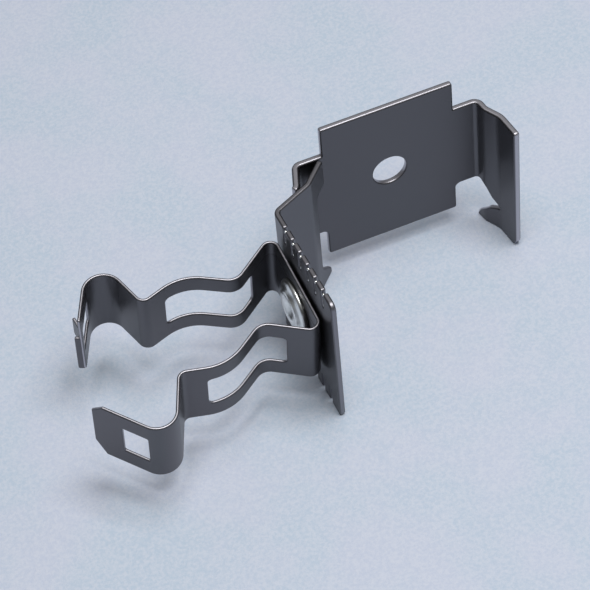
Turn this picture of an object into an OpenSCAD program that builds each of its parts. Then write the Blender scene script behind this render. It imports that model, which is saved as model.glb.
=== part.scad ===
// Conduit clip: a spring clip for a conduit, riveted so that it turns on a folded sheet bracket.
// The origin is the centre of the face plate's screw hole, at the plate's front face.
// X runs along the face plate, the plate's front looks along -Y, and Z is up.

/* [Sheet] */
// Thickness of the bracket's sheet
bracket_t = 1.4; // [1:0.1:1.8]
// Thickness of the side bracket's sheet
side_t = 1.2; // [0.8:0.1:1.6]
// Thickness of the clip's spring strip
clip_t = 0.7; // [0.5:0.1:1]
// Height of the arms and the side bracket, from their feet up
arm_h = 34.9; // [32:0.1:42]

/* [Face plate] */
// Width of the face plate
plate_w = 29.5; // [24:0.5:40]
// Height of the face plate
plate_h = 38; // [34:0.5:48]
// Lift of the face plate's lower edge above the feet
plate_lift = 4.7; // [3:0.1:8]
// Diameter of the screw hole
hole_d = 7.5; // [4:0.1:11]
// Lift of the necks' lower edges above the feet
neck_lift = 12; // [9:0.5:15]
// Length of each neck, from the plate's edge to the corner of its bend
neck_run = 5.7; // [4.5:0.1:8]
// Radius of the notch corner under each neck
notch_r = 1.2; // [0.5:0.1:2]

/* [Right arm] */
// Length of the arm's first run, straight back from the neck
heel_len = 2.9; // [2.6:0.1:4]
// Angle of the first run
heel_angle = 8; // [4:1:14]
// Length of the run that splays outwards
splay_len = 4; // [3:0.1:6]
// Angle of the splayed run
splay_angle = 29; // [18:1:36]
// Length of the last run
toe_len = 6.2; // [5:0.1:9]
// Angle of the last run
toe_angle = 7; // [0:1:14]
// Depth of the jaw cut into the arm, from the plate's front face
jaw_depth = 6; // [5:0.1:6.5]
// Height of the jaw's inner corner above the feet
jaw_lift = 6.2; // [5:0.1:7.5]

/* [Left arm] */
// Angle of the left arm behind the side bracket
left_angle = 20; // [14:1:26]
// Length of the lap that is welded behind the side bracket
lap_len = 4; // [3:0.1:5]
// Drop of the lap's upper edge below the side bracket's
lap_drop = 4; // [2:0.5:8]

/* [Side bracket] */
// Length of the slanted tab, from its tip to the fold
tab_len = 6.7; // [6:0.1:8]
// Angle of the slanted tab to the face plate
tab_angle = 45; // [40:1:50]
// Height of the tab at the top of the side bracket
tab_h = 6.9; // [4:0.1:10]
// Reach of the tab and of the prong past the panel's free edge
tab_reach = 4.1; // [3:0.1:4.5]
// Height of the prong at the foot of the free edge
prong_h = 5; // [3:0.1:6]
// Length of the panel between its two bends
panel_len = 9.5; // [8:0.1:12]
// Angle of the panel to the face plate
panel_angle = 24.5; // [18:0.5:32]
// Length of the toothed plate
rail_len = 28; // [26:0.5:36]
// Angle by which the toothed plate leans away from straight
rail_angle = 1; // [0:0.5:3]
// Pitch of the teeth
tooth_pitch = 3.65; // [3:0.05:6]
// Distance from the panel's fold to the first slot
slot_first = 5.2; // [4.5:0.1:7]
// Least length of the last tooth
slot_last = 3; // [2:0.1:5]
// Width of the slots between the teeth
slot_w = 0.9; // [0.6:0.1:1.4]
// Depth of the slots
slot_depth = 4.6; // [2.5:0.1:6]

/* [Rivet] */
// Distance of the rivet behind the toothed plate's front end
rivet_back = 16.6; // [15.5:0.1:17.5]
// Lift of the rivet above the toothed plate's middle
rivet_lift = 0.7; // [0:0.1:1.5]
// Diameter of the rivet's shank
shank_d = 5; // [4:0.1:6]
// Diameter of the rivet's wide head
head_d = 12.4; // [9:0.1:14]
// Thickness of the rivet's wide head
head_t = 1.1; // [0.8:0.1:1.6]
// Height of the ring that is raised on the wide head
ring_h = 0.9; // [0.5:0.1:1.4]
// Gap between the clip and the toothed plate, filled by the rivet's shoulder
shoulder_t = 0.35; // [0.25:0.05:1]
// Diameter of the shoulder
shoulder_d = 9; // [7:0.1:11]
// Diameter of the rivet's formed tail
tail_d = 8.4; // [7:0.1:10]
// Height of the rivet's formed tail
tail_t = 1.3; // [0.8:0.1:2]
// Running clearance around the shank, on the radius
turn_gap = 0.06; // [0.02:0.01:0.1]
// Running clearance between the clip and the rivet's head and shoulder
face_gap = 0.05; // [0.02:0.01:0.1]

/* [Clip] */
// Width of the clip's strip
clip_w = 17.6; // [16:0.1:20]
// Turn of the clip about its rivet
clip_turn = 6.9; // [0:0.1:12]
// Angle by which the arms lean towards the front, past the toothed plate's own
arm_lean = 1; // [0:0.5:3]
// Half the width of the clip's base
base_half = 12.9; // [12:0.1:14]
// Distance from the base to the waist
waist_out = 10.9; // [10:0.1:12]
// Half the gap at the waist
waist_half = 5.6; // [5:0.1:6.5]
// Distance from the base to the bulge around the conduit
bulge_out = 20.6; // [19.5:0.1:22]
// Half the width of the bulge, at the corner of its bend
bulge_half = 11.7; // [11:0.1:12.5]
// Distance from the base to the mouth's narrowest place
mouth_out = 30.1; // [29:0.1:31.5]
// Half the gap at the mouth
mouth_half = 9; // [8.4:0.1:9.6]
// Length of the windows in the arms
window_len = 18.2; // [12:0.1:19]
// Height of the windows in the arms
window_h = 8.9; // [4:0.1:10]
// Distance from the base to the start of the windows
window_out = 6.6; // [5:0.1:8]
// Angle of the front arm's flared run past the mouth
front_flare_angle = 64.3; // [60:0.1:70]
// Length of the front arm's flared run, up to the corner of its bend
front_flare_len = 15.4; // [14:0.1:17]
// Length of the keeper flag on the front arm
keeper_len = 18.9; // [17:0.1:21]
// Angle of the keeper flag
keeper_angle = 52; // [46:0.5:56]
// Angle of the rear arm's flared run past the mouth
rear_flare_angle = 73.8; // [68:0.1:76]
// Length of the rear arm's flared run, up to the corner of its bend
rear_flare_len = 17.2; // [16:0.1:18.5]
// Length of the catch flag on the rear arm
catch_len = 17.3; // [16:0.1:19]
// Angle of the catch flag
catch_angle = 61; // [57:0.5:64]

/* [Latch] */
// Length of the keeper's square window
keeper_window = 5.7; // [4:0.1:7]
// Height of the keeper's square window
keeper_window_h = 8.4; // [5:0.1:9]
// Distance from the keeper's end to its window
keeper_rim = 6.7; // [4:0.1:7.5]
// Chamfer at the keeper's corners, along the strip
keeper_chamfer = 2.4; // [1:0.1:4]
// Height that the chamfer takes off the keeper's upper corner
keeper_taper_top = 2.2; // [1:0.1:4]
// Height that the chamfer takes off the keeper's lower corner
keeper_taper_low = 4.2; // [2:0.1:5]
// Width of the catch tongue
tongue_w = 5.6; // [3:0.1:6.4]
// Length of the catch tongue
tongue_len = 4.4; // [3:0.1:5.5]
// Angle at which the catch tongue stands out of its flag
tongue_angle = 32; // [20:1:40]
// Distance from the catch flag's end to its window
catch_rim = 1.1; // [1:0.1:2]
// Length of the window in the catch flag
catch_window = 7.2; // [6:0.1:8]
// Height of the window in the catch flag
catch_window_h = 6.8; // [6.6:0.1:8]
// Reach of the lip that is turned out along the lower part of the catch flag's end
lip_out = 1; // [0.5:0.1:1.5]
// Height of the lip
lip_h = 11.2; // [8:0.1:13]

/* [Bends] */
// Middle radius of the tight bends
tight_r = 1.6; // [1.4:0.1:2.2]
// Middle radius of the easy bends
easy_r = 3; // [2.4:0.1:3.6]
// Middle radius of the clip's bends at the base and the mouth
clip_r = 1.8; // [1.4:0.1:2.4]
// Middle radius of the clip's waist
waist_r = 3.3; // [2.4:0.1:4]
// Middle radius of the bulge around the conduit
bulge_r = 10.3; // [9:0.1:11]
// Middle radius of the flared bends
flare_r = 4.1; // [3.4:0.1:4.4]
// Rounding of the sheets' free corners
corner_r = 1; // [0.4:0.1:1.4]

/* [Hidden] */
$fn = 48;

sheet_color = [0.27, 0.29, 0.32];
silver_color = [0.78, 0.78, 0.76];
slack = 0.01;      // how far a cutter runs past the face it cuts
reach = 2 * (plate_w + rail_len); // longer than any sheet, for cutters that go right through
bend_step = 9;     // largest angle between two points of a bend
touch = 0.05;      // gap of the tab's tip from the neck's face

// heights, counted from the hole's centre
plate_low = -plate_h / 2;
floor_z = plate_low - plate_lift;
arm_top = floor_z + arm_h;
neck_low = floor_z + neck_lift;
prong_tip_h = 1.4;

// places of the side bracket in plan, along the middle of its sheet
tab_dir = [-cos(tab_angle), -sin(tab_angle)];
panel_dir = [-cos(panel_angle), -sin(panel_angle)];
tab_tip = [-plate_w / 2 - side_t / 2, -touch - side_t / 2 * cos(tab_angle)];
tab_fold = tab_tip + tab_len * tab_dir;
rail_fold = tab_fold + panel_len * panel_dir;
rail_end = rail_fold + rail_len * along(rail_angle);

// places of the left arm, whose lap lies along the back of the panel
neck_y = bracket_t / 2;
neck_root = 3;       // length of each neck inside the plate
left_heel = [-plate_w / 2 - neck_run, neck_y];
panel_back = [-panel_dir[1], panel_dir[0]] * -(side_t + bracket_t) / 2;
left_knee = crossing(left_heel, along(-left_angle), tab_fold + panel_back, panel_dir);
lap_end = left_knee + lap_len * panel_dir;

// places of the right arm
right_heel = [plate_w / 2 + neck_run, neck_y];
heel_end = right_heel + heel_len * along(heel_angle);
splay_end = heel_end + splay_len * along(splay_angle);
toe_end = splay_end + toe_len * along(toe_angle);

// where the rivet goes through the middle of the toothed plate's sheet
rivet_at = rail_end - rivet_back * along(rail_angle);
middle_z = floor_z + arm_h / 2;
rivet_z = middle_z + rivet_lift;

// distances from the middle of the toothed plate's sheet, negative towards the clip
shoulder_x = -side_t / 2 - shoulder_t;
base_x = shoulder_x - face_gap - clip_t / 2;
head_x = base_x - clip_t / 2 - face_gap;

// the clip's outline, as distances out from the base and sideways from the rivet
waist = [waist_out, waist_half];
bulge = [bulge_out, bulge_half];
mouth = [mouth_out, mouth_half];
front_flare = mouth + front_flare_len * [cos(front_flare_angle), sin(front_flare_angle)];
rear_flare = mouth + rear_flare_len * [cos(rear_flare_angle), sin(rear_flare_angle)];
keeper_end = front_flare + keeper_len * [cos(keeper_angle), -sin(keeper_angle)];
catch_end = rear_flare + catch_len * [cos(catch_angle), -sin(catch_angle)];

// direction in plan at an angle from straight back, positive to the right
function along(angle) = [sin(angle), -cos(angle)];
function turn(v) = [-v[1], v[0]];
function cross2(a, b) = a[0] * b[1] - a[1] * b[0];
function crossing(p, d, q, e) = p + d * cross2(q - p, e) / cross2(d, e);
function unit(v) = v / norm(v);
function heading(v) = atan2(v[1], v[0]);
function wrap(a) = a > 180 ? a - 360 : a < -180 ? a + 360 : a;

// one side of a bent strip: path is a list of corners, radii the middle radius at each inner corner
function strip_side(path, radii, offset) = concat(
    [path[0] + turn(unit(path[1] - path[0])) * offset],
    [for (i = [1 : len(path) - 2]) each bend(path[i - 1], path[i], path[i + 1], radii[i - 1], offset)],
    [path[len(path) - 1] + turn(unit(path[len(path) - 1] - path[len(path) - 2])) * offset]);

// points of one bend, offset to the left of the path
function bend(a, b, c, r, offset) =
    let (u = unit(b - a), v = unit(c - b), swing = wrap(heading(v) - heading(u)), side = sign(swing))
    let (centre = b - u * r * tan(abs(swing) / 2) + turn(u) * side * r)
    let (count = max(1, ceil(abs(swing) / bend_step)))
    [for (k = [0 : count]) let (h = heading(u) + swing * k / count)
        centre + side * (r - side * offset) * [sin(h), -cos(h)]];

function reversed(list) = [for (i = [len(list) - 1 : -1 : 0]) list[i]];

// a sheet of thickness t bent along a path in plan, standing from low to high
module strip(path, radii, t, low, high) {
    translate([0, 0, low]) linear_extrude(high - low)
        polygon(concat(strip_side(path, radii, t / 2), reversed(strip_side(path, radii, -t / 2))));
}

// what a rounded corner takes away: the square's corner outside a circle
module corner_cut(r) {
    difference() {
        square(r + slack);
        translate([r, r]) circle(r);
    }
}

// a flat plate along X and Z, from y to y + t, with the outline drawn in x and z
module upright(y, t) {
    translate([0, y + t, 0]) rotate([90, 0, 0]) linear_extrude(t) children();
}

module face_plate() {
    difference() {
        upright(0, bracket_t) difference() {
            union() {
                translate([-plate_w / 2, plate_low]) square([plate_w, plate_h]);
                // rounded inner corners where the necks leave the plate
                for (side = [-1, 1]) {
                    translate([side * plate_w / 2, neck_low]) mirror([side < 0 ? 1 : 0, 0]) notch_fillet();
                }
            }
            for (side = [-1, 1], end = [-1, 1]) {
                translate([side * (plate_w / 2 + slack), end * (plate_h / 2 + slack)])
                    mirror([side > 0 ? 1 : 0, 0]) mirror([0, end > 0 ? 1 : 0]) corner_cut(corner_r / 2);
            }
        }
        rotate([90, 0, 0]) cylinder(d = hole_d, h = reach, center = true);
    }
}

// fills the corner under a neck: the corner is at the origin, the neck above and the plate to the left
module notch_fillet() {
    difference() {
        translate([-notch_r, -notch_r]) square(2 * notch_r);
        translate([notch_r, -notch_r]) circle(notch_r);
    }
}

// the jaw, seen along the face plate: open under the neck, closed by a prong that rises from the feet
module jaw_outline() {
    low = floor_z;
    polygon([
        [bracket_t + slack, neck_low],
        [-jaw_depth * 0.2, neck_low],
        [-jaw_depth * 0.36, neck_low - neck_lift * 0.06],
        [-jaw_depth * 0.6, low + (jaw_lift + neck_lift) * 0.47],
        [-jaw_depth, low + jaw_lift],
        [-jaw_depth * 0.82, low + jaw_lift * 0.95],
        [-jaw_depth * 0.5, low + jaw_lift * 0.78],
        [-jaw_depth * 0.1, low + jaw_lift * 0.34],
        [bracket_t * 0.4, low + slack],
        [bracket_t * 0.4, low - 1],
        [bracket_t + slack, low - 1]]);
}

// rounds the arm's free end, drawn square to its last run, the lower corner more than the upper
module toe_corners() {
    translate([toe_end[0], toe_end[1], 0]) rotate([0, 0, 90 + toe_angle]) {
        translate([-slack, bracket_t * 2, floor_z - slack]) rotate([90, 0, 0])
            linear_extrude(bracket_t * 4) corner_cut(corner_r * 2);
        translate([-slack, bracket_t * 2, arm_top + slack]) rotate([90, 0, 0])
            linear_extrude(bracket_t * 4) mirror([0, 1]) corner_cut(corner_r * 0.6);
    }
}

// a prism along X whose outline is drawn in y and z
module side_prism(low, high) {
    translate([low, 0, 0]) rotate([90, 0, 90]) linear_extrude(high - low) children();
}

module right_arm() {
    path = [[plate_w / 2 - neck_root, neck_y], right_heel, heel_end, splay_end, toe_end];
    inner = plate_w / 2 - neck_root - 1;
    neck_cut_end = plate_w / 2 + neck_run - tight_r;
    difference() {
        strip(path, [tight_r, easy_r, easy_r * 1.6], bracket_t, floor_z, arm_top);
        toe_corners();
        side_prism(inner, reach) jaw_outline();
        translate([inner, -bracket_t, floor_z - 1]) cube([neck_cut_end - inner, bracket_t * 3, neck_lift + 1]);
    }
}

// The left arm stops at the side bracket's back and turns along it, where it is welded
module left_arm() {
    path = [[-plate_w / 2 + neck_root, neck_y], left_heel, left_knee, lap_end];
    difference() {
        strip(path, [tight_r, tight_r], bracket_t, neck_low, arm_top);
        // the lap is lower than the side bracket
        translate([left_knee[0] - reach - side_t * 0.6, -reach, arm_top - lap_drop]) cube([reach, reach * 2, reach]);
    }
}

module bracket() color(sheet_color) {
    union() {
        face_plate();
        right_arm();
        left_arm();
    }
}

// the side bracket's free end, seen square to the slanted tab: tab above, prong below, open between
module tab_outline() {
    free = tab_reach;
    low = floor_z;
    polygon([
        [-1, low + prong_tip_h],
        [free * 0.12, low + prong_tip_h],
        [free * 0.9, low + prong_h],
        [free, low + prong_h + 0.6],
        [free, arm_top - tab_h - 1.6],
        [free * 0.85, arm_top - tab_h - 0.4],
        [free * 0.6, arm_top - tab_h],
        [-1, arm_top - tab_h]]);
}

// moves a shape drawn in the distance along the tab and the height to the tab's sheet
module at_tab() {
    translate([tab_tip[0], tab_tip[1], 0]) rotate([90, 0, 180 + tab_angle])
        translate([0, 0, -side_t * 2]) linear_extrude(side_t * 4) children();
}

// puts a shape on the toothed plate: x is square to the plate, y runs along it with 0 at the rivet
module at_rail() {
    translate([rivet_at[0], rivet_at[1], 0]) rotate([0, 0, rail_angle]) children();
}

// the same, with the height counted from the rivet's axis
module at_rivet() {
    at_rail() translate([0, 0, rivet_z]) children();
}

// slots in both edges of the toothed plate, from the panel's fold to the free end
module rail_slots() {
    room = rail_len - slot_first - slot_last;
    for (k = [0 : floor(room / tooth_pitch)], edge = [-1, 1]) {
        y = rail_len - rivet_back - slot_first - k * tooth_pitch;
        foot = middle_z + edge * (arm_h / 2 - slot_depth + slot_w / 2);
        translate([-side_t, y - slot_w / 2, edge > 0 ? foot : foot - reach]) cube([side_t * 2, slot_w, reach]);
        translate([0, y, foot]) rotate([0, 90, 0]) cylinder(d = slot_w, h = side_t * 2, center = true);
    }
}

module rail_corners() {
    for (edge = [-1, 1]) {
        side_prism(-side_t, side_t)
            translate([-rivet_back - slack, middle_z + edge * (arm_h / 2 + slack)])
                mirror([0, edge > 0 ? 1 : 0]) corner_cut(edge > 0 ? corner_r * 1.6 : corner_r);
    }
}

module side_bracket() color(sheet_color) {
    path = [tab_tip, tab_fold, rail_fold, rail_end];
    difference() {
        strip(path, [easy_r, tight_r], side_t, floor_z, arm_top);
        at_tab() tab_outline();
        at_rail() rail_slots();
        at_rail() rail_corners();
        at_rivet() rotate([0, 90, 0]) cylinder(d = shank_d, h = side_t * 3, center = true);
    }
}

// One turned outline: formed tail, shank, shoulder, and a head with a raised ring and a sunk middle
module rivet() color(silver_color) {
    tail = side_t / 2;
    rise = head_x - head_t;
    ring_r = head_d * 0.36;
    cup_r = head_d * 0.2;
    // x is the radius, y the distance along the axis towards the tail
    outline = [
        [0, rise + head_t * 0.3],
        [cup_r * 0.6, rise + head_t * 0.3],
        [cup_r, rise - ring_h * 0.55],
        [ring_r * 0.78, rise - ring_h],
        [ring_r * 0.95, rise - ring_h * 0.75],
        [ring_r, rise - ring_h * 0.1],
        [head_d / 2 - 0.7, rise],
        [head_d / 2 - 0.15, rise + head_t * 0.25],
        [head_d / 2, rise + head_t * 0.6],
        [head_d / 2 - 0.1, head_x],
        [shank_d / 2, head_x],
        [shank_d / 2, shoulder_x],
        [shoulder_d / 2, shoulder_x],
        [shoulder_d / 2, shoulder_x + shoulder_t],
        [shank_d / 2, shoulder_x + shoulder_t],
        [shank_d / 2, tail],
        [tail_d / 2, tail],
        [tail_d / 2, tail + tail_t * 0.4],
        [tail_d * 0.36, tail + tail_t],
        [0, tail + tail_t]];
    at_rivet() rotate([0, 90, 0]) rotate_extrude() polygon(outline);
}

// places of the clip in its own plan: side is -1 for the front arm and 1 for the rear
function leaned(v) = [v[0] * cos(arm_lean) - v[1] * sin(arm_lean), v[0] * sin(arm_lean) + v[1] * cos(arm_lean)];
function clip_place(p, side) = [base_x, 0] + leaned([-p[0], side * p[1]]);
function arm_corners(side, flare, end) = concat([[base_x, side * base_half]],
    [for (p = [waist, bulge, mouth, flare, end]) clip_place(p, side)]);
arm_radii = [clip_r, waist_r, bulge_r, clip_r, flare_r];
clip_path = concat(reversed(arm_corners(-1, front_flare, keeper_end)), arm_corners(1, rear_flare, catch_end));
clip_radii = concat(reversed(arm_radii), arm_radii);

// a window through one arm, cut square to the conduit's axis plane, with rounded corners
module arm_window(side) {
    left = -window_out - window_len;
    r = corner_r;
    y0 = side > 0 ? 0 : -reach;
    for (dx = [r, window_len - r], dz = [-1, 1]) {
        translate([left + dx, y0 + reach, dz * (window_h / 2 - r)]) rotate([90, 0, 0]) cylinder(r = r, h = reach);
    }
    translate([left + r, y0, -window_h / 2]) cube([window_len - 2 * r, reach, window_h]);
    translate([left, y0, -window_h / 2 + r]) cube([window_len, reach, window_h - 2 * r]);
}

// puts a shape at the end of a flag: x runs back along the strip, y is its thickness, z its width
module at_flag(end, angle, side) {
    place = clip_place(end, side);
    translate([place[0], place[1], 0]) rotate([0, 0, side * angle + arm_lean]) children();
}

module keeper_cuts() {
    past = 0.3;          // share of the chamfer by which its cutter runs past both edges
    edge_z = clip_w / 2;
    at_flag(keeper_end, keeper_angle, -1) {
        translate([keeper_rim, -clip_t * 3, -keeper_window_h / 2]) cube([keeper_window, clip_t * 6, keeper_window_h]);
        for (edge = [-1, 1]) {
            taper = edge > 0 ? keeper_taper_top : keeper_taper_low;
            translate([0, clip_t * 3, 0]) rotate([90, 0, 0]) linear_extrude(clip_t * 6) polygon([
                [-past * keeper_chamfer, edge * (edge_z - (1 + past) * taper)],
                [(1 + past) * keeper_chamfer, edge * (edge_z + past * taper)],
                [-past * keeper_chamfer, edge * (edge_z + past * taper)]]);
        }
    }
}

module catch_cut() {
    at_flag(catch_end, catch_angle, 1)
        translate([catch_rim, -clip_t * 3, -catch_window_h / 2]) cube([catch_window, clip_t * 6, catch_window_h]);
}

module catch_lip() {
    at_flag(catch_end, catch_angle, 1) translate([0, 0, -clip_w / 2]) cube([clip_t, clip_t / 2 + lip_out, lip_h]);
}

// the tongue is lanced out of the flag: its root is at the flag's end and its free edge stands outwards
module catch_tongue() {
    root = clip_t * 0.35;
    drawn_t = clip_t * 0.9;
    at_flag(catch_end, catch_angle, 1)
        translate([catch_rim - root, 0, -tongue_w / 2]) rotate([0, 0, tongue_angle])
            translate([0, -drawn_t / 2, 0]) cube([tongue_len + root, drawn_t, tongue_w]);
}

module conduit_clip() color(sheet_color) {
    at_rivet() rotate([clip_turn, 0, 0]) {
        difference() {
            strip(clip_path, clip_radii, clip_t, -clip_w / 2, clip_w / 2);
            for (side = [-1, 1]) {
                translate([base_x, 0, 0]) rotate([0, 0, arm_lean]) arm_window(side);
            }
            keeper_cuts();
            catch_cut();
            translate([base_x, 0, 0]) rotate([0, 90, 0])
                cylinder(d = shank_d + 2 * turn_gap, h = clip_t * 3, center = true);
        }
        catch_tongue();
        catch_lip();
    }
}

bracket();
side_bracket();
rivet();
conduit_clip();
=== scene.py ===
# Looks of the conduit clip: oiled spring steel with sheared edges, a bright rivet, on pale blue board.
import math

import bmesh
import bpy
from mathutils import Matrix, Vector


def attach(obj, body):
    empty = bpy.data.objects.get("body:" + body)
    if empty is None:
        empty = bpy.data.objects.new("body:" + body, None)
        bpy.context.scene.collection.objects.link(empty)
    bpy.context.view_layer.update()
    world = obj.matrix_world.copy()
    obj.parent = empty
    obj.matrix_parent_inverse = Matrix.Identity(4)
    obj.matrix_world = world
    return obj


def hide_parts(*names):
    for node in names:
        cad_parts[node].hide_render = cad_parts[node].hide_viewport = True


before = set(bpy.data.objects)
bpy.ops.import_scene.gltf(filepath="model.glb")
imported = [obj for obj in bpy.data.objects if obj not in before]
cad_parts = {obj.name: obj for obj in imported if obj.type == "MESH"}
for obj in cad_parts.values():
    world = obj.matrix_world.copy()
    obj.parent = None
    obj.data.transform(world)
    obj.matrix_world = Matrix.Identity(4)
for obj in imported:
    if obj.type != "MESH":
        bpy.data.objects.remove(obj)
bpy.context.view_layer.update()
print("frame loaded:", sorted(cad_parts))

mm = 0.001


# Shader maths: a socket that can be added, multiplied and compared

class Signal:
    def __init__(self, paint, socket):
        self.paint = paint
        self.socket = socket

    def maths(self, operation, first, second=0.0):
        return self.paint.node("ShaderNodeMath", {"operation": operation}, {0: first, 1: second})

    def __add__(self, other):
        return self.maths("ADD", self, other)

    __radd__ = __add__

    def __sub__(self, other):
        return self.maths("SUBTRACT", self, other)

    def __rsub__(self, other):
        return self.maths("SUBTRACT", other, self)

    def __mul__(self, other):
        return self.maths("MULTIPLY", self, other)

    __rmul__ = __mul__

    def __truediv__(self, other):
        return self.maths("DIVIDE", self, other)

    def __pow__(self, other):
        return self.maths("POWER", self, other)

    def __abs__(self):
        return self.maths("ABSOLUTE", self)

    def between(self, low, high):  # 0 below low, 1 above high, smooth between
        settings = {"interpolation_type": "SMOOTHSTEP"}
        return self.paint.node("ShaderNodeMapRange", settings, {0: self, 1: low, 2: high})


class Paint:  # one material and the nodes that make it
    def __init__(self, name):
        self.material = bpy.data.materials.new(name)
        self.material.use_nodes = True
        self.tree = self.material.node_tree
        self.tree.nodes.clear()

    def node(self, kind, settings=None, sockets=None, out=0):
        made = self.tree.nodes.new(kind)
        for key, value in (settings or {}).items():
            setattr(made, key, value)
        for key, value in (sockets or {}).items():
            if isinstance(value, Signal):
                self.tree.links.new(value.socket, made.inputs[key])
            else:
                made.inputs[key].default_value = value
        return Signal(self, made.outputs[out]) if made.outputs else None

    def mix(self, factor, first, second):  # between two colours
        return self.node("ShaderNodeMix", {"data_type": "RGBA"}, {0: factor, 6: first, 7: second}, out=2)

    def attribute(self, name, out=2):
        return self.node("ShaderNodeAttribute", {"attribute_name": name}, out=out)

    def stretched(self, place, scale):  # a vector scaled along each axis
        return self.node("ShaderNodeVectorMath", {"operation": "MULTIPLY"}, {0: place, 1: scale})

    def noise(self, place, scale, detail=3.0, roughness=0.55):
        sockets = {"Vector": place, "Scale": scale, "Detail": detail, "Roughness": roughness}
        return self.node("ShaderNodeTexNoise", {}, sockets)

    def finish(self, sockets, height=None, depth=0.0):
        if height is not None:
            bump = {"Height": height, "Strength": 1.0, "Distance": depth}
            sockets = {**sockets, "Normal": self.node("ShaderNodeBump", {}, bump)}
        surface = self.node("ShaderNodeBsdfPrincipled", {}, sockets)
        self.node("ShaderNodeOutputMaterial", {}, {"Surface": surface})
        return self.material


def tinted(level, violet=0.05):  # steel's own grey, a little towards violet
    return (level, level * (1 - violet / 2), level * (1 + violet), 1)


# Sheets: a flat outline with holes is given thickness and rounded edges, then bent along a path in plan

class BendPath:  # straight runs and arcs through the given corners, in mm
    def __init__(self, corners, radii):
        points = [Vector(c) for c in corners]
        self.runs = []
        start = points[0]
        for before, corner, after, radius in zip(points, points[1:], points[2:], radii):
            inward = (corner - before).normalized()
            outward = (after - corner).normalized()
            swing = math.atan2(inward.x * outward.y - inward.y * outward.x, inward.dot(outward))
            reach = radius * math.tan(abs(swing) / 2)
            arcStart = corner - inward * reach
            self.addRun(start, inward, (arcStart - start).length, 0)
            self.addRun(arcStart, inward, radius * abs(swing), math.copysign(1 / radius, swing))
            start = corner + outward * reach
        last = (points[-1] - points[-2]).normalized()
        self.addRun(start, last, (points[-1] - start).length, 0)
        self.length = self.runs[-1]["s"] + self.runs[-1]["length"]

    def addRun(self, start, heading, length, curve):
        s = self.runs[-1]["s"] + self.runs[-1]["length"] if self.runs else 0
        self.runs.append({"s": s, "start": start, "heading": heading, "length": length, "curve": curve})

    def place(self, s):  # point, heading and curve at the distance s
        run = self.runs[0]
        for other in self.runs:
            if other["s"] <= s:
                run = other
        d = s - run["s"]
        u = run["heading"]
        left = Vector((-u.y, u.x))
        if run["curve"] == 0:
            return run["start"] + u * d, u, 0
        k = run["curve"]
        a = d * k
        return run["start"] + (u * math.sin(a) + left * (1 - math.cos(a))) / k, u * math.cos(a) + left * math.sin(a), k

    def find(self, axis, value, low, high):  # the distance at which x (axis 0) or y (axis 1) has a value
        rising = self.place(high)[0][axis] > self.place(low)[0][axis]
        for step in range(40):
            middle = (low + high) / 2
            if (self.place(middle)[0][axis] < value) == rising:
                low = middle
            else:
                high = middle
        return low

    def columns(self, turnStep, runStep):  # where the flat sheet is cut so that it bends smoothly
        cuts = []
        for run in self.runs:
            step = turnStep / abs(run["curve"]) if run["curve"] else runStep
            count = max(1, math.ceil(run["length"] / step))
            cuts += [run["s"] + run["length"] * k / count for k in range(count)]
        return cuts[1:]


def roundedLoop(corners):  # corners are (s, z, radius); each radius becomes an arc
    loop = []
    for i, (s, z, radius) in enumerate(corners):
        here = Vector((s, z))
        before = Vector(corners[i - 1][:2]) - here
        after = Vector(corners[(i + 1) % len(corners)][:2]) - here
        if radius == 0:
            loop.append(here)
            continue
        a, b = before.normalized(), after.normalized()
        half = math.acos(max(-1, min(1, a.dot(b)))) / 2
        reach = min(radius / math.tan(half), before.length * 0.49, after.length * 0.49)
        radius = reach * math.tan(half)
        centre = here + (a + b).normalized() * math.hypot(reach, radius)
        first = here + a * reach - centre
        turn = first.angle_signed(here + b * reach - centre)
        count = max(2, math.ceil(abs(turn) / math.radians(12)))
        for k in range(count + 1):
            spun = first.copy()
            spun.rotate(Matrix.Rotation(-turn * k / count, 2))
            loop.append(centre + spun)
    return loop


def circleLoop(s, z, radius, count=64):
    return [Vector((s + radius * math.cos(math.tau * k / count), z + radius * math.sin(math.tau * k / count)))
            for k in range(count)]


def flatSheet(loops, thickness, edgeRound):  # a plate in the plane of s and z with rounded edges
    curve = bpy.data.curves.new("flat", "CURVE")
    curve.dimensions = "2D"
    curve.fill_mode = "BOTH"
    curve.extrude = thickness / 2 - edgeRound
    curve.bevel_depth = edgeRound
    curve.bevel_resolution = 2
    curve.offset = -edgeRound
    for loop in loops:
        spline = curve.splines.new("POLY")
        spline.points.add(len(loop) - 1)
        spline.use_cyclic_u = True
        for point, corner in zip(spline.points, loop):
            point.co = (corner.x, corner.y, 0, 1)
    holder = bpy.data.objects.new("flat", curve)
    bpy.context.scene.collection.objects.link(holder)
    bpy.context.view_layer.update()
    mesh = bpy.data.meshes.new_from_object(holder.evaluated_get(bpy.context.evaluated_depsgraph_get()))
    bpy.data.objects.remove(holder)
    return mesh


def cutColumns(mesh, cuts):  # extra rows of points across the flat sheet
    bm = bmesh.new()
    bm.from_mesh(mesh)
    bmesh.ops.remove_doubles(bm, verts=bm.verts, dist=0.002)
    bmesh.ops.dissolve_degenerate(bm, edges=bm.edges, dist=0.003)
    for s in cuts:
        everything = list(bm.verts) + list(bm.edges) + list(bm.faces)
        bmesh.ops.bisect_plane(bm, geom=everything, dist=0.0005, plane_co=(s, 0, 0), plane_no=(1, 0, 0))
    bmesh.ops.recalc_face_normals(bm, faces=bm.faces)
    openEdges = sum(1 for edge in bm.edges if len(edge.link_faces) != 2)
    bm.to_mesh(mesh)
    bm.free()
    return openEdges


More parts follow.
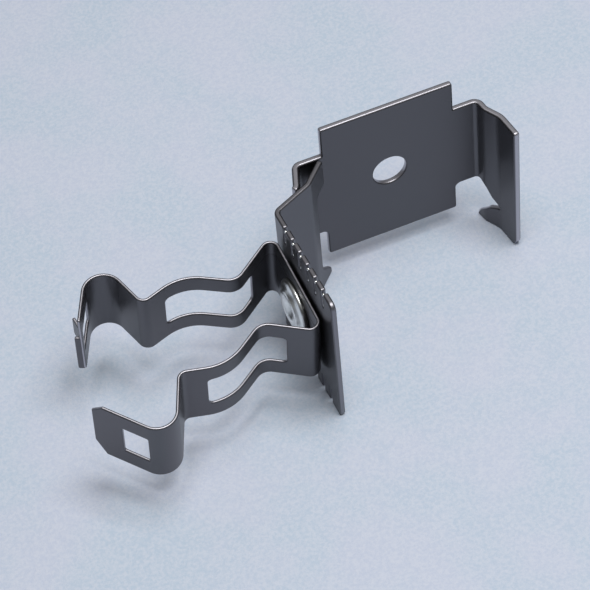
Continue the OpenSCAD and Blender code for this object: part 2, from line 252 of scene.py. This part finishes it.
def flatNormals(mesh):  # faces stay flat, the rounded edges turn smoothly
    normals = [Vector((0, 0, 0)) for v in mesh.vertices]
    broad = [0] * len(mesh.vertices)
    for face in mesh.polygons:
        side = 0
        if abs(face.normal.z) > 0.999:
            side = 1 if face.normal.z > 0 else -1
        for v in face.vertices:
            if side:
                broad[v] = side
            normals[v] += face.normal * face.area
    for i, side in enumerate(broad):
        normals[i] = Vector((0, 0, side)) if side else normals[i].normalized()
    return normals


def bentSheet(name, path, loops, thickness, edgeRound, after=None, runStep=3.0):
    # s runs along the path, z up, and the flat sheet's third axis becomes the path's left side
    mesh = flatSheet(loops, thickness, edgeRound)
    openEdges = cutColumns(mesh, path.columns(math.radians(4), runStep))
    spans = [max(v.co[k] for v in mesh.vertices) - min(v.co[k] for v in mesh.vertices) for k in (0, 1)]
    flatSize = " by ".join(f"{span:.1f}" for span in spans)
    print(name, "faces:", len(mesh.polygons), "open edges:", openEdges, "flat size:", flatSize, "mm")
    normals = flatNormals(mesh)
    flat = mesh.attributes.new("flatPlace", "FLOAT_VECTOR", "POINT")
    rim = mesh.attributes.new("rim", "FLOAT", "POINT")
    bent = mesh.attributes.new("bent", "FLOAT", "POINT")
    after = after or Matrix.Identity(4)
    turnOnly = after.to_3x3()
    turned = []
    for i, v in enumerate(mesh.vertices):
        s, z, depth = v.co
        point, heading, curve = path.place(s)
        left = Vector((-heading.y, heading.x))
        flat.data[i].vector = (s, z, depth / (thickness / 2))
        rim.data[i].value = 1 - abs(normals[i].z)
        bent.data[i].value = curve
        place = Vector((point.x + left.x * depth, point.y + left.y * depth, z))
        normal = heading.to_3d() * normals[i].x + Vector((0, 0, normals[i].y)) + left.to_3d() * normals[i].z
        v.co = (after @ place) * mm
        turned.append(turnOnly @ normal)
    mesh.update()
    # the flat axes s, z, left are a mirrored set, so the faces are turned over to look outwards
    mesh.flip_normals()
    for face in mesh.polygons:
        face.use_smooth = True
    mesh.normals_split_custom_set_from_vertices([tuple(n) for n in turned])
    piece = bpy.data.objects.new(name, mesh)
    bpy.context.scene.collection.objects.link(piece)
    return piece


def along(degrees):  # direction in plan, from straight towards the viewer, positive to the right
    return Vector((math.sin(math.radians(degrees)), -math.cos(math.radians(degrees))))


# Common sizes, in mm, in the frame of the CAD: origin at the screw hole, z up

body = {
    "floor": -23.7,
    "top": 11.2,
    "plateWidth": 29.5,
    "plateHeight": 38.0,
    "neckLow": -11.7,
    "neckRun": 5.7,
    "bracketSheet": 1.4,
    "sideSheet": 1.2,
}

bends = {"tight": 1.6, "easy": 3.0}


# Side bracket: slanted tab and prong, panel, toothed plate

sideBracket = {
    "tabLength": 6.7,
    "tabAngle": 45.0,
    "tabHeight": 6.9,
    "tabReach": 4.1,
    "prongHeight": 5.0,
    "prongTip": 1.4,
    "panelLength": 9.5,
    "panelAngle": 24.5,
    "railLength": 28.0,
    "railAngle": 1.0,
    "firstSlot": 5.2,
    "slotPitch": 3.65,
    "slots": 6,
    "slotWidth": 0.9,
    "slotDepth": 4.6,
    # size of the painted highlight beads at the slots
    "highlightBead": 0.4,
    "edgeRound": 0.36,
}


def sideBracketPath():
    c = sideBracket
    tabDir = -Vector((math.cos(math.radians(c["tabAngle"])), math.sin(math.radians(c["tabAngle"]))))
    panelDir = -Vector((math.cos(math.radians(c["panelAngle"])), math.sin(math.radians(c["panelAngle"]))))
    half = body["sideSheet"] / 2
    tip = Vector((-body["plateWidth"] / 2 - half, -0.05 - half * math.cos(math.radians(c["tabAngle"]))))
    fold = tip + tabDir * c["tabLength"]
    railFold = fold + panelDir * c["panelLength"]
    railEnd = railFold + along(c["railAngle"]) * c["railLength"]
    return BendPath([tip, fold, railFold, railEnd], [bends["easy"], bends["tight"]]), fold, panelDir, railFold, railEnd


def makeSideBracket():
    c = sideBracket
    path, fold, panelDir, railFold, railEnd = sideBracketPath()
    low, top, end = body["floor"], body["top"], path.length
    free = c["tabReach"]
    outline = [(0, low, 0.4), (0, low + c["prongTip"], 0.4), (free * 0.9, low + c["prongHeight"], 0.4),
               (free, low + c["prongHeight"] + 0.6, 0.4), (free, top - c["tabHeight"] - 1.6, 0.5),
               (free * 0.85, top - c["tabHeight"] - 0.4, 0.5), (free * 0.6, top - c["tabHeight"], 0.4),
               (0, top - c["tabHeight"], 0.5), (0, top, 0.5)]
    half = c["slotWidth"] / 2
    places = [end - c["railLength"] + c["firstSlot"] + k * c["slotPitch"] for k in range(c["slots"])]
    for s in places:
        foot = top - c["slotDepth"]
        outline += [(s - half, top, 0.4), (s - half, foot, half * 0.98), (s + half, foot, half * 0.98), (s + half, top, 0.4)]
    outline += [(end, top, 1.6), (end, low, 1.0)]
    for s in reversed(places):
        foot = low + c["slotDepth"]
        outline += [(s + half, low, 0.4), (s + half, foot, half * 0.98), (s - half, foot, half * 0.98), (s - half, low, 0.4)]
    piece = bentSheet("sideBracketSheet", path, [roundedLoop(outline)], body["sideSheet"], c["edgeRound"])
    return piece, fold, panelDir, railFold, railEnd


sidePiece, sideFold, sidePanelDir, railFold, railEnd = makeSideBracket()
print("side bracket bent:", len(sidePiece.data.polygons), "faces")


# Bracket: the right arm, the face plate and the left arm are one folded sheet

bracket = {
    "heelLength": 2.9,
    "heelAngle": 8.0,
    "splayLength": 4.0,
    "splayAngle": 29.0,
    "toeLength": 6.2,
    "toeAngle": 7.0,
    "jawDepth": 6.0,
    "jawLift": 6.2,
    "leftAngle": 20.0,
    "lapLength": 4.0,
    "lapDrop": 4.0,
    "holeWidth": 7.5,
    "notchRound": 1.2,
    "edgeRound": 0.4,
}


def crossing(p, d, q, e):  # where two lines in plan meet
    step = q - p
    return p + d * ((step.x * e.y - step.y * e.x) / (d.x * e.y - d.y * e.x))


def makeBracket():
    c = bracket
    t = body["bracketSheet"]
    y = t / 2
    leftHeel = Vector((-body["plateWidth"] / 2 - body["neckRun"], y))
    back = Vector((-sidePanelDir.y, sidePanelDir.x)) * -(body["sideSheet"] + t) / 2
    knee = crossing(leftHeel, along(-c["leftAngle"]), sideFold + back, sidePanelDir)
    lapEnd = knee + sidePanelDir * c["lapLength"]
    heel = Vector((body["plateWidth"] / 2 + body["neckRun"], y))
    heelEnd = heel + along(c["heelAngle"]) * c["heelLength"]
    splayEnd = heelEnd + along(c["splayAngle"]) * c["splayLength"]
    toeEnd = splayEnd + along(c["toeAngle"]) * c["toeLength"]
    tight, easy = bends["tight"], bends["easy"]
    path = BendPath([lapEnd, knee, leftHeel, heel, heelEnd, splayEnd, toeEnd], [tight, tight, tight, easy, easy * 1.6])
    low, top, end = body["floor"], body["top"], path.length
    neckLow, lift = body["neckLow"], body["neckLow"] - body["floor"]
    plateRun = path.runs[4]
    middle = plateRun["s"] - plateRun["start"].x
    plateLeft, plateRight = middle - body["plateWidth"] / 2, middle + body["plateWidth"] / 2
    plateTop, plateLow = body["plateHeight"] / 2, -body["plateHeight"] / 2
    kneeAt = path.find(0, knee.x - body["sideSheet"] * 0.6, 0, plateRun["s"])
    armAt = plateRun["s"] + plateRun["length"]

    def jaw(depth, height, radius):  # a corner of the jaw, by its distance in front of the plate
        return (path.find(1, -depth, armAt, end), height, radius)

    d, j = c["jawDepth"], c["jawLift"]
    outline = [(0, neckLow, 0.45), (plateLeft, neckLow, c["notchRound"]), (plateLeft, plateLow, 0.5),
               (plateRight, plateLow, 0.5), (plateRight, neckLow, c["notchRound"]),
               jaw(d * 0.2, neckLow, 1.5), jaw(d * 0.36, neckLow - lift * 0.06, 1.5),
               jaw(d * 0.6, low + (j + lift) * 0.47, 2.0), jaw(d, low + j, 0.5),
               jaw(d * 0.82, low + j * 0.95, 0.8), jaw(d * 0.5, low + j * 0.78, 2.0),
               jaw(d * 0.1, low + j * 0.34, 2.0), jaw(-t * 0.4, low, 0.45),
               (end, low, 2.0), (end, top, 0.6), (plateRight, top, 0.15), (plateRight, plateTop, 0.5),
               (plateLeft, plateTop, 0.5), (plateLeft, top, 0.15), (kneeAt, top, 0.45),
               (kneeAt, top - c["lapDrop"], 0.2), (0, top - c["lapDrop"], 0.5)]
    hole = circleLoop(middle, 0, c["holeWidth"] / 2)
    return bentSheet("bracketSheet", path, [roundedLoop(outline), hole], t, c["edgeRound"])


bracketPiece = makeBracket()
print("bracket bent:", len(bracketPiece.data.polygons), "faces")


# Clip: one spring strip from the keeper flag, round the base, to the catch flag

clip = {
    "sheet": 0.7,
    "width": 17.6,
    "turn": 6.9,
    "armLean": 1.0,
    "rivetBack": 16.6,
    "rivetLift": 0.7,
    "standOff": 0.4,
    "baseHalf": 12.9,
    "waist": (10.9, 5.6),
    "bulge": (20.6, 11.7),
    "mouth": (30.1, 9.0),
    "radii": (1.8, 3.3, 10.3, 1.8, 4.1),
    "frontFlare": (64.3, 15.4),
    "rearFlare": (73.8, 17.2),
    "keeper": (52.0, 18.9),
    "catch": (61.0, 17.3),
    "windowLength": 18.2,
    "windowHeight": 8.9,
    "windowOut": 6.6,
    "keeperWindow": (5.7, 8.4),
    "keeperRim": 6.7,
    "chamferLength": 2.4,
    "chamferTop": 2.2,
    "chamferLow": 4.2,
    "catchRim": 1.1,
    "catchWindow": (7.2, 6.8),
    "tongue": (4.4, 5.6),
    "tongueAngle": 32.0,
    "lip": (1.0, 11.2),
    "edgeRound": 0.28,
}

middleZ = (body["floor"] + body["top"]) / 2
rivetAt = (railEnd - along(sideBracket["railAngle"]) * clip["rivetBack"]).to_3d() + Vector((0, 0, middleZ + clip["rivetLift"]))
baseX = -body["sideSheet"] / 2 - clip["standOff"] - clip["sheet"] / 2
rivetPlace = Matrix.Translation(rivetAt) @ Matrix.Rotation(math.radians(sideBracket["railAngle"]), 4, "Z")
clipPlace = rivetPlace @ Matrix.Rotation(math.radians(clip["turn"]), 4, "X")


def makeClip():
    c = clip
    half = c["width"] / 2
    lean = Matrix.Rotation(math.radians(c["armLean"]), 2)

    def corner(p, side):
        return Vector((baseX, 0)) + lean @ Vector((-p[0], side * p[1]))

    def slanted(p, degrees, length, way):
        a = math.radians(degrees)
        return (p[0] + length * math.cos(a), p[1] + way * length * math.sin(a))

    def arm(side, flare, flag):
        bendAt = slanted(c["mouth"], *flare, 1)
        places = [c["waist"], c["bulge"], c["mouth"], bendAt, slanted(bendAt, *flag, -1)]
        return [Vector((baseX, side * c["baseHalf"]))] + [corner(p, side) for p in places]

    radii = list(c["radii"])
    path = BendPath(arm(-1, c["frontFlare"], c["keeper"])[::-1] + arm(1, c["rearFlare"], c["catch"]), radii[::-1] + radii)
    end = path.length
    base = path.find(1, 0, end * 0.35, end * 0.65)
    long = c["chamferLength"]
    outline = [(0, -half + c["chamferLow"], 0.3), (long, -half, 0.3), (end, -half, 0.5), (end, half, 0.5),
               (long, half, 0.3), (0, half - c["chamferTop"], 0.3)]
    loops = [roundedLoop(outline), circleLoop(base, 0, 2.5)]

    def window(s0, s1, high, radius):
        loops.append(roundedLoop([(s0, -high, radius), (s1, -high, radius), (s1, high, radius), (s0, high, radius)]))

    def outAt(out, low, high):  # the distance along the strip at which an arm has come out so far from the base
        for step in range(40):
            middle = (low + high) / 2
            place = lean.transposed() @ (path.place(middle)[0] - Vector((baseX, 0)))
            if -place.x < out:
                low = middle
            else:
                high = middle
        return low

    near, far = c["windowOut"], c["windowOut"] + c["windowLength"]
    armReach = 45
    for way in (-1, 1):
        ends = sorted(outAt(out, base, base + way * armReach) for out in (near, far))
        window(ends[0], ends[1], c["windowHeight"] / 2, 1)
    keeperLong, keeperHigh = c["keeperWindow"]
    window(c["keeperRim"], c["keeperRim"] + keeperLong, keeperHigh / 2, 0.35)
    catchLong, catchHigh = c["catchWindow"]
    window(end - c["catchRim"] - catchLong, end - c["catchRim"], catchHigh / 2, 0.35)
    strip = bentSheet("clipStrip", path, loops, c["sheet"], c["edgeRound"], clipPlace)

    # the tongue leaves the catch flag's rim and bends outwards, to the path's right
    tongueLong, tongueWide = c["tongue"]
    place, heading, curve = path.place(end - c["catchRim"] + 0.4)
    outwards = Vector((heading.y, -heading.x))
    a = math.radians(c["tongueAngle"])
    kink = place - heading * 0.9
    tonguePath = BendPath([place, kink, kink + (outwards * math.sin(a) - heading * math.cos(a)) * (tongueLong - 0.5)], [1.2])
    far = tonguePath.length
    tongueOutline = [(0, -tongueWide / 2, 0), (far, -tongueWide / 2, 0.5), (far, tongueWide / 2, 0.5), (0, tongueWide / 2, 0)]
    tongue = bentSheet("clipTongue", tonguePath, [roundedLoop(tongueOutline)], c["sheet"] * 0.9, 0.18, clipPlace)

    # the lip is turned out along the lower part of the catch flag's end
    lipOut, lipHigh = c["lip"]
    endPlace = path.place(end)[0] - heading * c["sheet"] / 2
    lipPath = BendPath([endPlace, endPlace + outwards * (c["sheet"] / 2 + lipOut)], [])
    lipOutline = [(0, -half, 0.2), (lipPath.length, -half, 0.35), (lipPath.length, lipHigh - half, 0.35), (0, lipHigh - half, 0.1)]
    lip = bentSheet("clipLip", lipPath, [roundedLoop(lipOutline)], c["sheet"], 0.18, clipPlace)
    return strip, tongue, lip


clipPiece, tonguePiece, lipPiece = makeClip()
print("clip bent:", len(clipPiece.data.polygons), "faces")


# Painted highlights: small near-white glossy beads at the foot and the upper corner of each slot in the toothed plate
# stand in for the glints there

def makeHighlightBeads():
    c = sideBracket
    bm = bmesh.new()
    footZ = body["top"] - c["slotDepth"] + c["slotWidth"] / 2
    for k in range(c["slots"]):
        y = c["railLength"] - clip["rivetBack"] - c["firstSlot"] - k * c["slotPitch"]
        for x, dy, z, size in ((-0.1, 0, footZ, c["highlightBead"]), (-0.4, -c["slotWidth"] * 0.6, body["top"] - 0.2, c["highlightBead"] * 0.85)):
            place = rivetPlace @ Vector((x, y + dy, z - rivetAt.z)) * mm
            bmesh.ops.create_icosphere(bm, subdivisions=2, radius=size * mm, matrix=Matrix.Translation(place))
    mesh = bpy.data.meshes.new("toothHighlightBeads")
    bm.to_mesh(mesh)
    bm.free()
    for face in mesh.polygons:
        face.use_smooth = True
    piece = bpy.data.objects.new("toothHighlightBeads", mesh)
    bpy.context.scene.collection.objects.link(piece)
    return piece


highlightBeadPiece = makeHighlightBeads()
print("highlightBeads placed:", sideBracket["slots"] * 2)


# Rivet: a turned head with a raised ring, its shoulder, shank and formed tail

rivet = {
    "headWidth": 12.4,
    "headThickness": 1.1,
    "ringHeight": 0.9,
    "shankWidth": 5.0,
    "shoulderWidth": 9.0,
    "shoulder": 0.35,
    "tailWidth": 8.4,
    "tailHeight": 1.3,
    "gap": 0.05,
    "steps": 96,
}


def turned(name, profile, steps, place):  # profile is (radius, x) in mm, spun about x and then put in place
    mesh = bpy.data.meshes.new(name)
    rings, faces, points = [], [], []
    for radius, x in profile:
        if radius == 0:
            rings.append([len(points)])
            points.append(place @ Vector((x, 0, 0)) * mm)
            continue
        first = len(points)
        for k in range(steps):
            a = math.tau * k / steps
            points.append(place @ Vector((x, radius * math.cos(a), radius * math.sin(a))) * mm)
        rings.append(list(range(first, first + steps)))
    for lower, upper in zip(rings, rings[1:]):
        for k in range(steps):
            n = (k + 1) % steps
            quad = [lower[k % len(lower)], lower[n % len(lower)], upper[n % len(upper)], upper[k % len(upper)]]
            faces.append([v for i, v in enumerate(quad) if v not in quad[:i]])
    mesh.from_pydata(points, [], faces)
    for face in mesh.polygons:
        face.use_smooth = True
    piece = bpy.data.objects.new(name, mesh)
    bpy.context.scene.collection.objects.link(piece)
    return piece


def makeRivet():
    c = rivet
    headX = baseX - clip["sheet"] / 2 - c["gap"]
    rise = headX - c["headThickness"]
    tail = body["sideSheet"] / 2
    shoulderX = -body["sideSheet"] / 2 - c["shoulder"]
    ring, cup, rim = c["headWidth"] * 0.36, c["headWidth"] * 0.2, c["headWidth"] / 2
    corners = [(0, rise + 0.3), (cup * 0.6, rise + 0.3), (cup, rise - 0.5), (ring * 0.78, rise - c["ringHeight"]),
               (ring * 0.95, rise - 0.68), (ring, rise - 0.1), (rim - 0.7, rise), (rim - 0.15, rise + 0.28),
               (rim, rise + 0.66), (rim - 0.1, headX), (c["shankWidth"] / 2, headX), (c["shankWidth"] / 2, shoulderX),
               (c["shoulderWidth"] / 2, shoulderX), (c["shoulderWidth"] / 2, shoulderX + c["shoulder"]),
               (c["tailWidth"] / 2, tail), (c["tailWidth"] / 2, tail + c["tailHeight"] * 0.4),
               (c["tailWidth"] * 0.36, tail + c["tailHeight"]), (0, tail + c["tailHeight"])]
    return turned("rivetTurned", corners, c["steps"], rivetPlace)


rivetPiece = makeRivet()
print("rivet turned:", len(rivetPiece.data.polygons), "faces")


# Finishes

def oiledSteel(name, tone, bareLevel):
    paint = Paint(name)
    flat = paint.attribute("flatPlace", out=1)
    rim = paint.attribute("rim")
    patches = paint.noise(flat, 0.16, 4)
    streaks = paint.noise(paint.stretched(flat, (0.35, 5.0, 1.0)), 1.0, 4)
    grain = paint.noise(flat, 9.0, 3, 0.7)
    speck = paint.noise(flat, 2.1, 3, 0.7)
    face = paint.mix(patches.between(0.3, 0.7), tinted(tone * 0.88), tinted(tone * 1.1))
    face = paint.mix(streaks.between(0.35, 0.75) * 0.3, face, tinted(tone * 1.3))
    stain = paint.noise(flat, 0.9, 5, 0.65).between(0.66, 0.74)
    face = paint.mix(stain * 0.5, face, tinted(tone * 0.5))
    bare = rim.between(0.25, 0.85) * (0.2 + 0.8 * speck.between(0.42, 0.56))
    colour = paint.mix(bare, face, tinted(bareLevel))
    rough = 0.3 + 0.1 * patches + 0.06 * grain + 0.06 * bare
    height = grain * 0.4 + streaks * 0.25 + rim.between(0.4, 0.9) * speck * 4.0
    return paint.finish({"Base Color": colour, "Roughness": rough, "Metallic": 1.0}, height, 0.00002)


def zincSteel(name, level, roughness):
    paint = Paint(name)
    place = paint.node("ShaderNodeNewGeometry")
    patches = paint.noise(place, 600.0, 4)
    colour = paint.mix(patches.between(0.3, 0.7), tinted(level * 0.88, -0.02), tinted(level, -0.02))
    rough = roughness + 0.08 * patches
    return paint.finish({"Base Color": colour, "Roughness": rough, "Metallic": 1.0}, patches, 0.00001)


def paperBoard(name):
    paint = Paint(name)
    place = paint.node("ShaderNodeNewGeometry")
    broad = paint.noise(place, 45.0, 3)
    fine = paint.noise(place, 1500.0, 3, 0.6)
    tint = paint.mix(broad.between(0.35, 0.65), (0.495, 0.585, 0.695, 1), (0.55, 0.60, 0.72, 1))
    colour = paint.mix(fine.between(0.3, 0.7) * 0.6, tint, (0.66, 0.69, 0.77, 1))
    return paint.finish({"Base Color": colour, "Roughness": 0.9}, fine, 0.0001)


def dress(piece, node, bodyName, material):
    piece.data.materials.clear()
    piece.data.materials.append(material)
    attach(piece, bodyName)
    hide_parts(node)


steelBrown = oiledSteel("bracketSteel", 0.122, 0.62)
steelBlue = oiledSteel("sideSteel", 0.135, 0.3)
steelClip = oiledSteel("clipSteel", 0.126, 0.62)
zinc = zincSteel("rivetZinc", 0.92, 0.26)
# near-white glossy metal for the beads at the slots: a painted highlight
highlightBeadSteel = zincSteel("highlightBeadSteel", 0.95, 0.12)
dress(bracketPiece, "bracket", "frame", steelBrown)
dress(sidePiece, "side_bracket", "frame", steelBlue)
dress(highlightBeadPiece, "side_bracket", "frame", highlightBeadSteel)
dress(rivetPiece, "rivet", "frame", zinc)
dress(clipPiece, "conduit_clip", "clip", steelClip)
dress(tonguePiece, "conduit_clip", "clip", steelClip)
dress(lipPiece, "conduit_clip", "clip", steelClip)
for nodeName, material in (("bracket", steelBrown), ("side_bracket", steelBlue), ("rivet", zinc),
                           ("conduit_clip", steelClip)):
    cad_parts[nodeName].data.materials.clear()
    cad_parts[nodeName].data.materials.append(material)
print("finishes on")


# Floor, light and camera

studio = {
    "floorSize": 1.6,
    "worldLight": 0.17,
    "worldTint": (0.95, 0.97, 1.0, 1),
    "lampPower": 4.9,
    "lampSize": 0.42,
    "lampPlace": (0.06, -0.1, 0.7),
}

view = {
    "lens": 183.05,
    "azimuth": 18.433,
    "elevation": 50.31,
    "roll": 5.962,
    "across": 21.295,
    "up": 10.772,
    "distance": 640.476,
}


def makeFloor():
    half = studio["floorSize"] / 2
    z = body["floor"] * mm
    mesh = bpy.data.meshes.new("floor")
    mesh.from_pydata([(-half, -half, z), (half, -half, z), (half, half, z), (-half, half, z)], [], [(0, 1, 2, 3)])
    mesh.materials.append(paperBoard("board"))
    floor = bpy.data.objects.new("floor", mesh)
    bpy.context.scene.collection.objects.link(floor)


def makeLight():
    world = bpy.data.worlds.new("studio")
    world.use_nodes = True
    background = world.node_tree.nodes["Background"]
    background.inputs["Color"].default_value = studio["worldTint"]
    background.inputs["Strength"].default_value = studio["worldLight"]
    bpy.context.scene.world = world
    lamp = bpy.data.lights.new("softbox", "AREA")
    lamp.shape = "SQUARE"
    lamp.size = studio["lampSize"]
    lamp.energy = studio["lampPower"]
    holder = bpy.data.objects.new("softbox", lamp)
    holder.location = studio["lampPlace"]
    aim = Vector((-0.02, -0.01, 0)) - Vector(studio["lampPlace"])
    holder.rotation_euler = aim.to_track_quat("-Z", "Y").to_euler()
    bpy.context.scene.collection.objects.link(holder)


def makeCamera():
    c = view
    e, roll = math.radians(c["elevation"]), math.radians(c["roll"])
    level = Matrix.Rotation(math.radians(-c["azimuth"]), 3, "Z")
    plainUp = Vector((0, math.sin(e), math.cos(e)))
    towards = Vector((0, -math.cos(e), math.sin(e)))
    right = Vector((1, 0, 0)) * math.cos(roll) - plainUp * math.sin(roll)
    up = Vector((1, 0, 0)) * math.sin(roll) + plainUp * math.cos(roll)
    place = towards * c["distance"] - right * c["across"] - up * c["up"]
    axes = Matrix((level @ right, level @ up, level @ towards)).transposed()
    camera = bpy.data.objects.new("camera", bpy.data.cameras.new("camera"))
    camera.data.lens = c["lens"]
    camera.data.sensor_width = 36
    camera.data.sensor_fit = "HORIZONTAL"
    camera.data.clip_start = 0.01
    home = Matrix.Translation((level @ place + Vector((0, 0, body["floor"]))) * mm)
    camera.matrix_world = home @ axes.to_4x4()
    bpy.context.scene.collection.objects.link(camera)
    bpy.context.scene.camera = camera


makeFloor()
makeLight()
makeCamera()
bpy.context.scene.view_settings.view_transform = "Standard"
print("studio ready")
